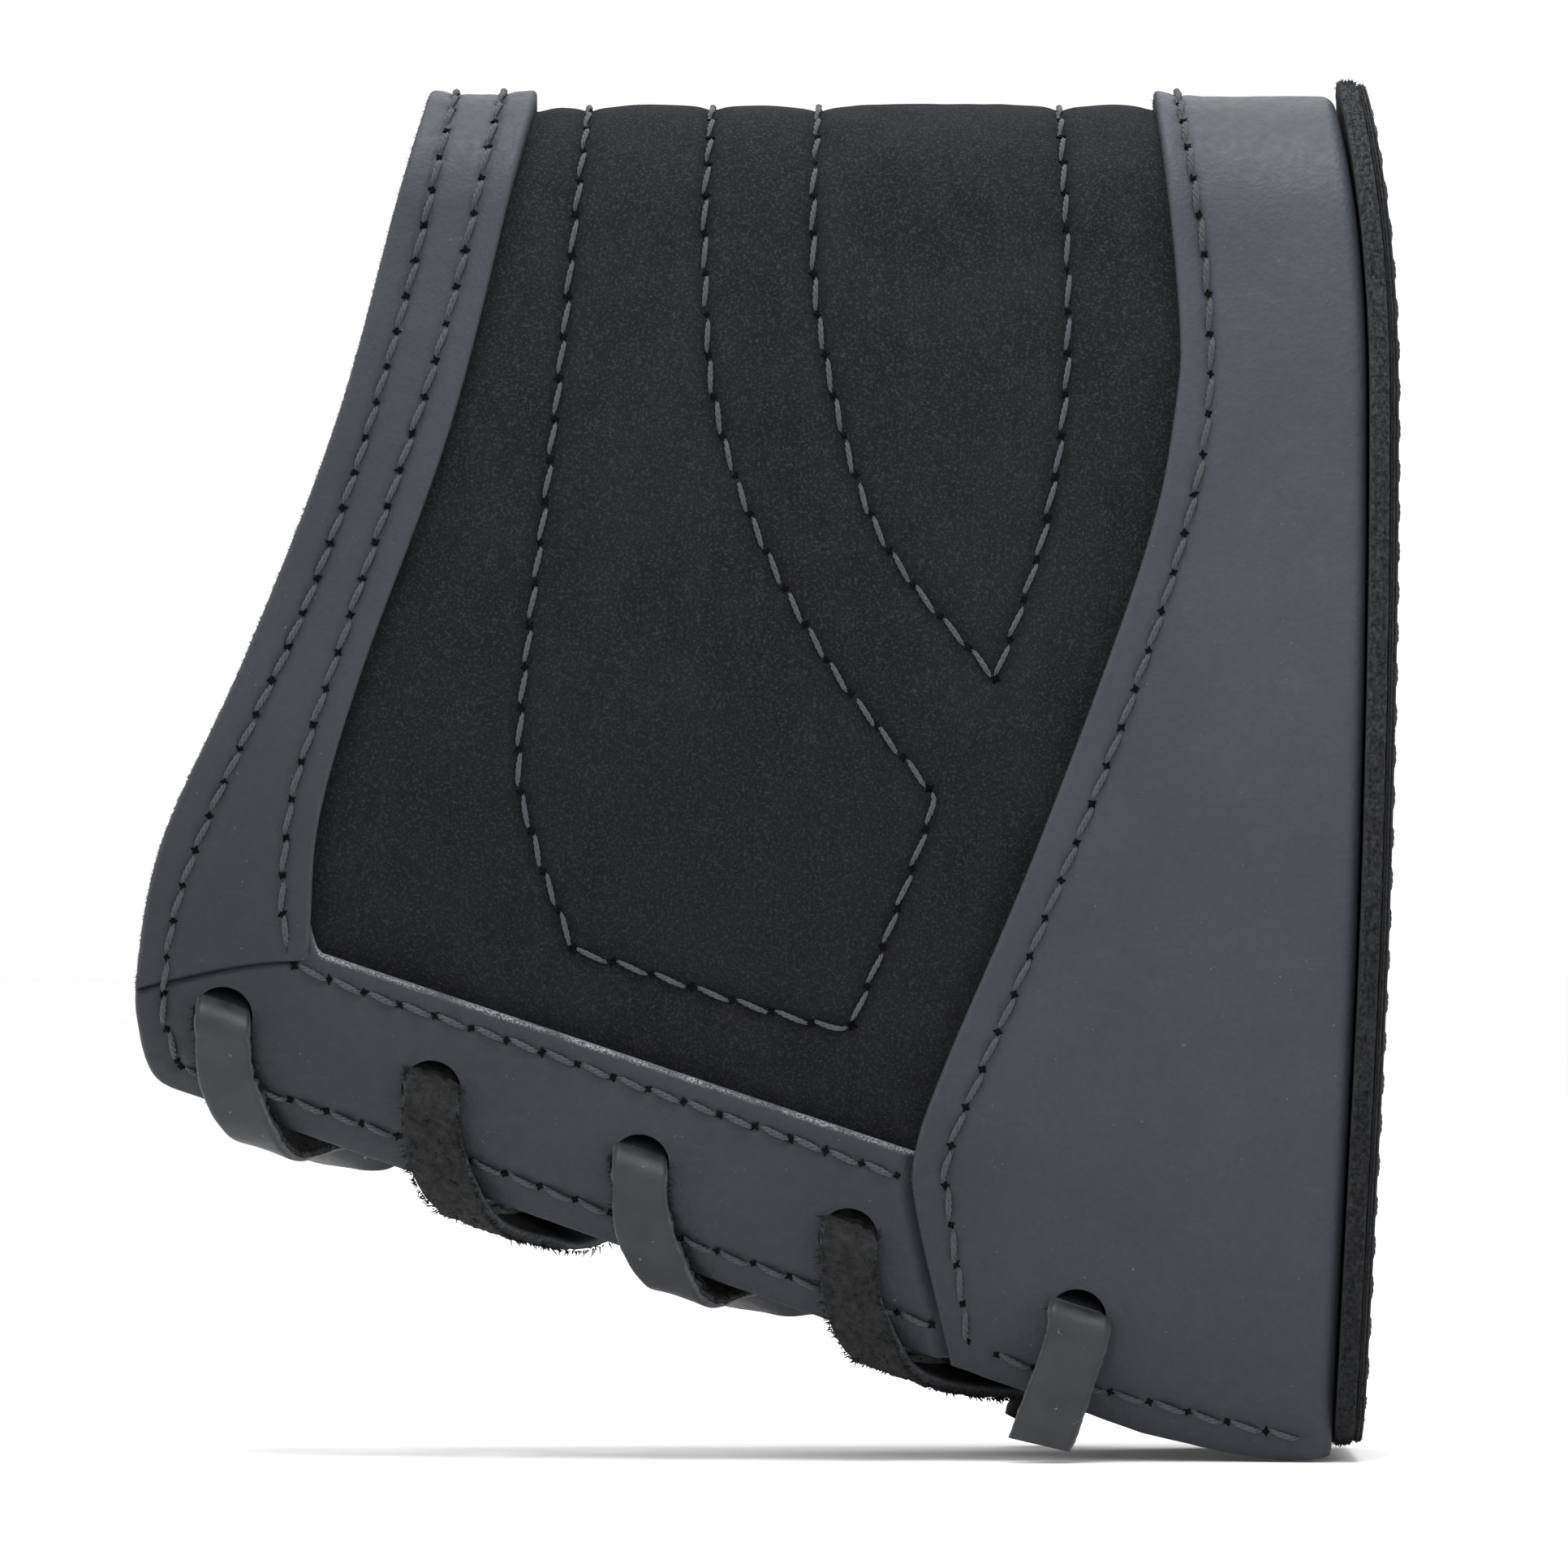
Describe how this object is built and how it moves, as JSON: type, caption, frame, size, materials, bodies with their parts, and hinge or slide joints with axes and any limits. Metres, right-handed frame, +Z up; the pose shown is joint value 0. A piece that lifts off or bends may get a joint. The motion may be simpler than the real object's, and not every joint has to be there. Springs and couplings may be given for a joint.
{
  "type": "laced leather butt pad sleeve",
  "caption": "Padded leather sleeve that slips over the butt of a shoulder stock: quilted suede sides, smooth leather bands, layered butt plate, and a leather thong laced along the belly.",
  "frame": {"origin": "the point of the insert's flat front face, on the middle plane, that the butt of the stock seats against", "axes": "+X back to the shoulder, +Z up to the comb, -X the way the stock leaves, Y across the width"},
  "size_m": [0.128, 0.0488, 0.1396],
  "materials": {
    "smooth_leather": "satin, slate grey full-grain leather",
    "suede": "napped, near-black suede",
    "lining_felt": "soft knitted lining, charcoal",
    "foam": "closed-cell foam sheet, dark grey",
    "butt_felt": "thick rough-cut leather board, fuzzy edge",
    "insert_rubber": "matt black rubber",
    "lace_leather": "satin one side, rough flesh other side",
    "leather_thread": "waxed three-ply thread, slate grey",
    "quilt_thread": "three-ply thread, mid grey"
  },
  "bodies": {
    "sleeve": {"lining": "lining_felt", "quilt_foam": "foam", "suede_panel": "suede", "front_band": "smooth_leather", "near_lace_band": "smooth_leather", "far_lace_band": "smooth_leather", "rear_panel": "smooth_leather", "butt_backer": "butt_felt", "butt_face": "smooth_leather", "lace": "lace_leather", "front_band_edge_stitches": "leather_thread", "front_band_window_stitches": "leather_thread", "rear_panel_stitches": "leather_thread", "near_lace_band_low_stitches": "leather_thread", "near_lace_band_high_stitches": "leather_thread", "near_hem_stitches": "leather_thread", "far_lace_band_low_stitches": "leather_thread", "far_lace_band_high_stitches": "leather_thread", "far_hem_stitches": "leather_thread", "quilt_u_stitches": "quilt_thread", "quilt_v_stitches": "quilt_thread", "butt_seam_stitches": "leather_thread"},
    "insert": {"recoil_insert": "insert_rubber"},
    "near_tail": {"near_lace_tail": "lace_leather"},
    "far_tail": {"far_lace_tail": "lace_leather"}
  },
  "joints": [
    {"name": "insert_slide", "type": "slide", "parent": "sleeve", "child": "insert", "axis": [-1, 0, 0], "range_m": [0, 0.025]},
    {"name": "near_tail_swing", "type": "hinge", "parent": "sleeve", "child": "near_tail", "pos_m": [-0.0124, -0.02105, -0.05552], "axis": [-1, 0, 0], "range_deg": [0, 95]},
    {"name": "far_tail_swing", "type": "hinge", "parent": "sleeve", "child": "far_tail", "pos_m": [-0.0124, 0.02105, -0.05552], "axis": [1, 0, 0], "range_deg": [0, 95]}
  ]
}
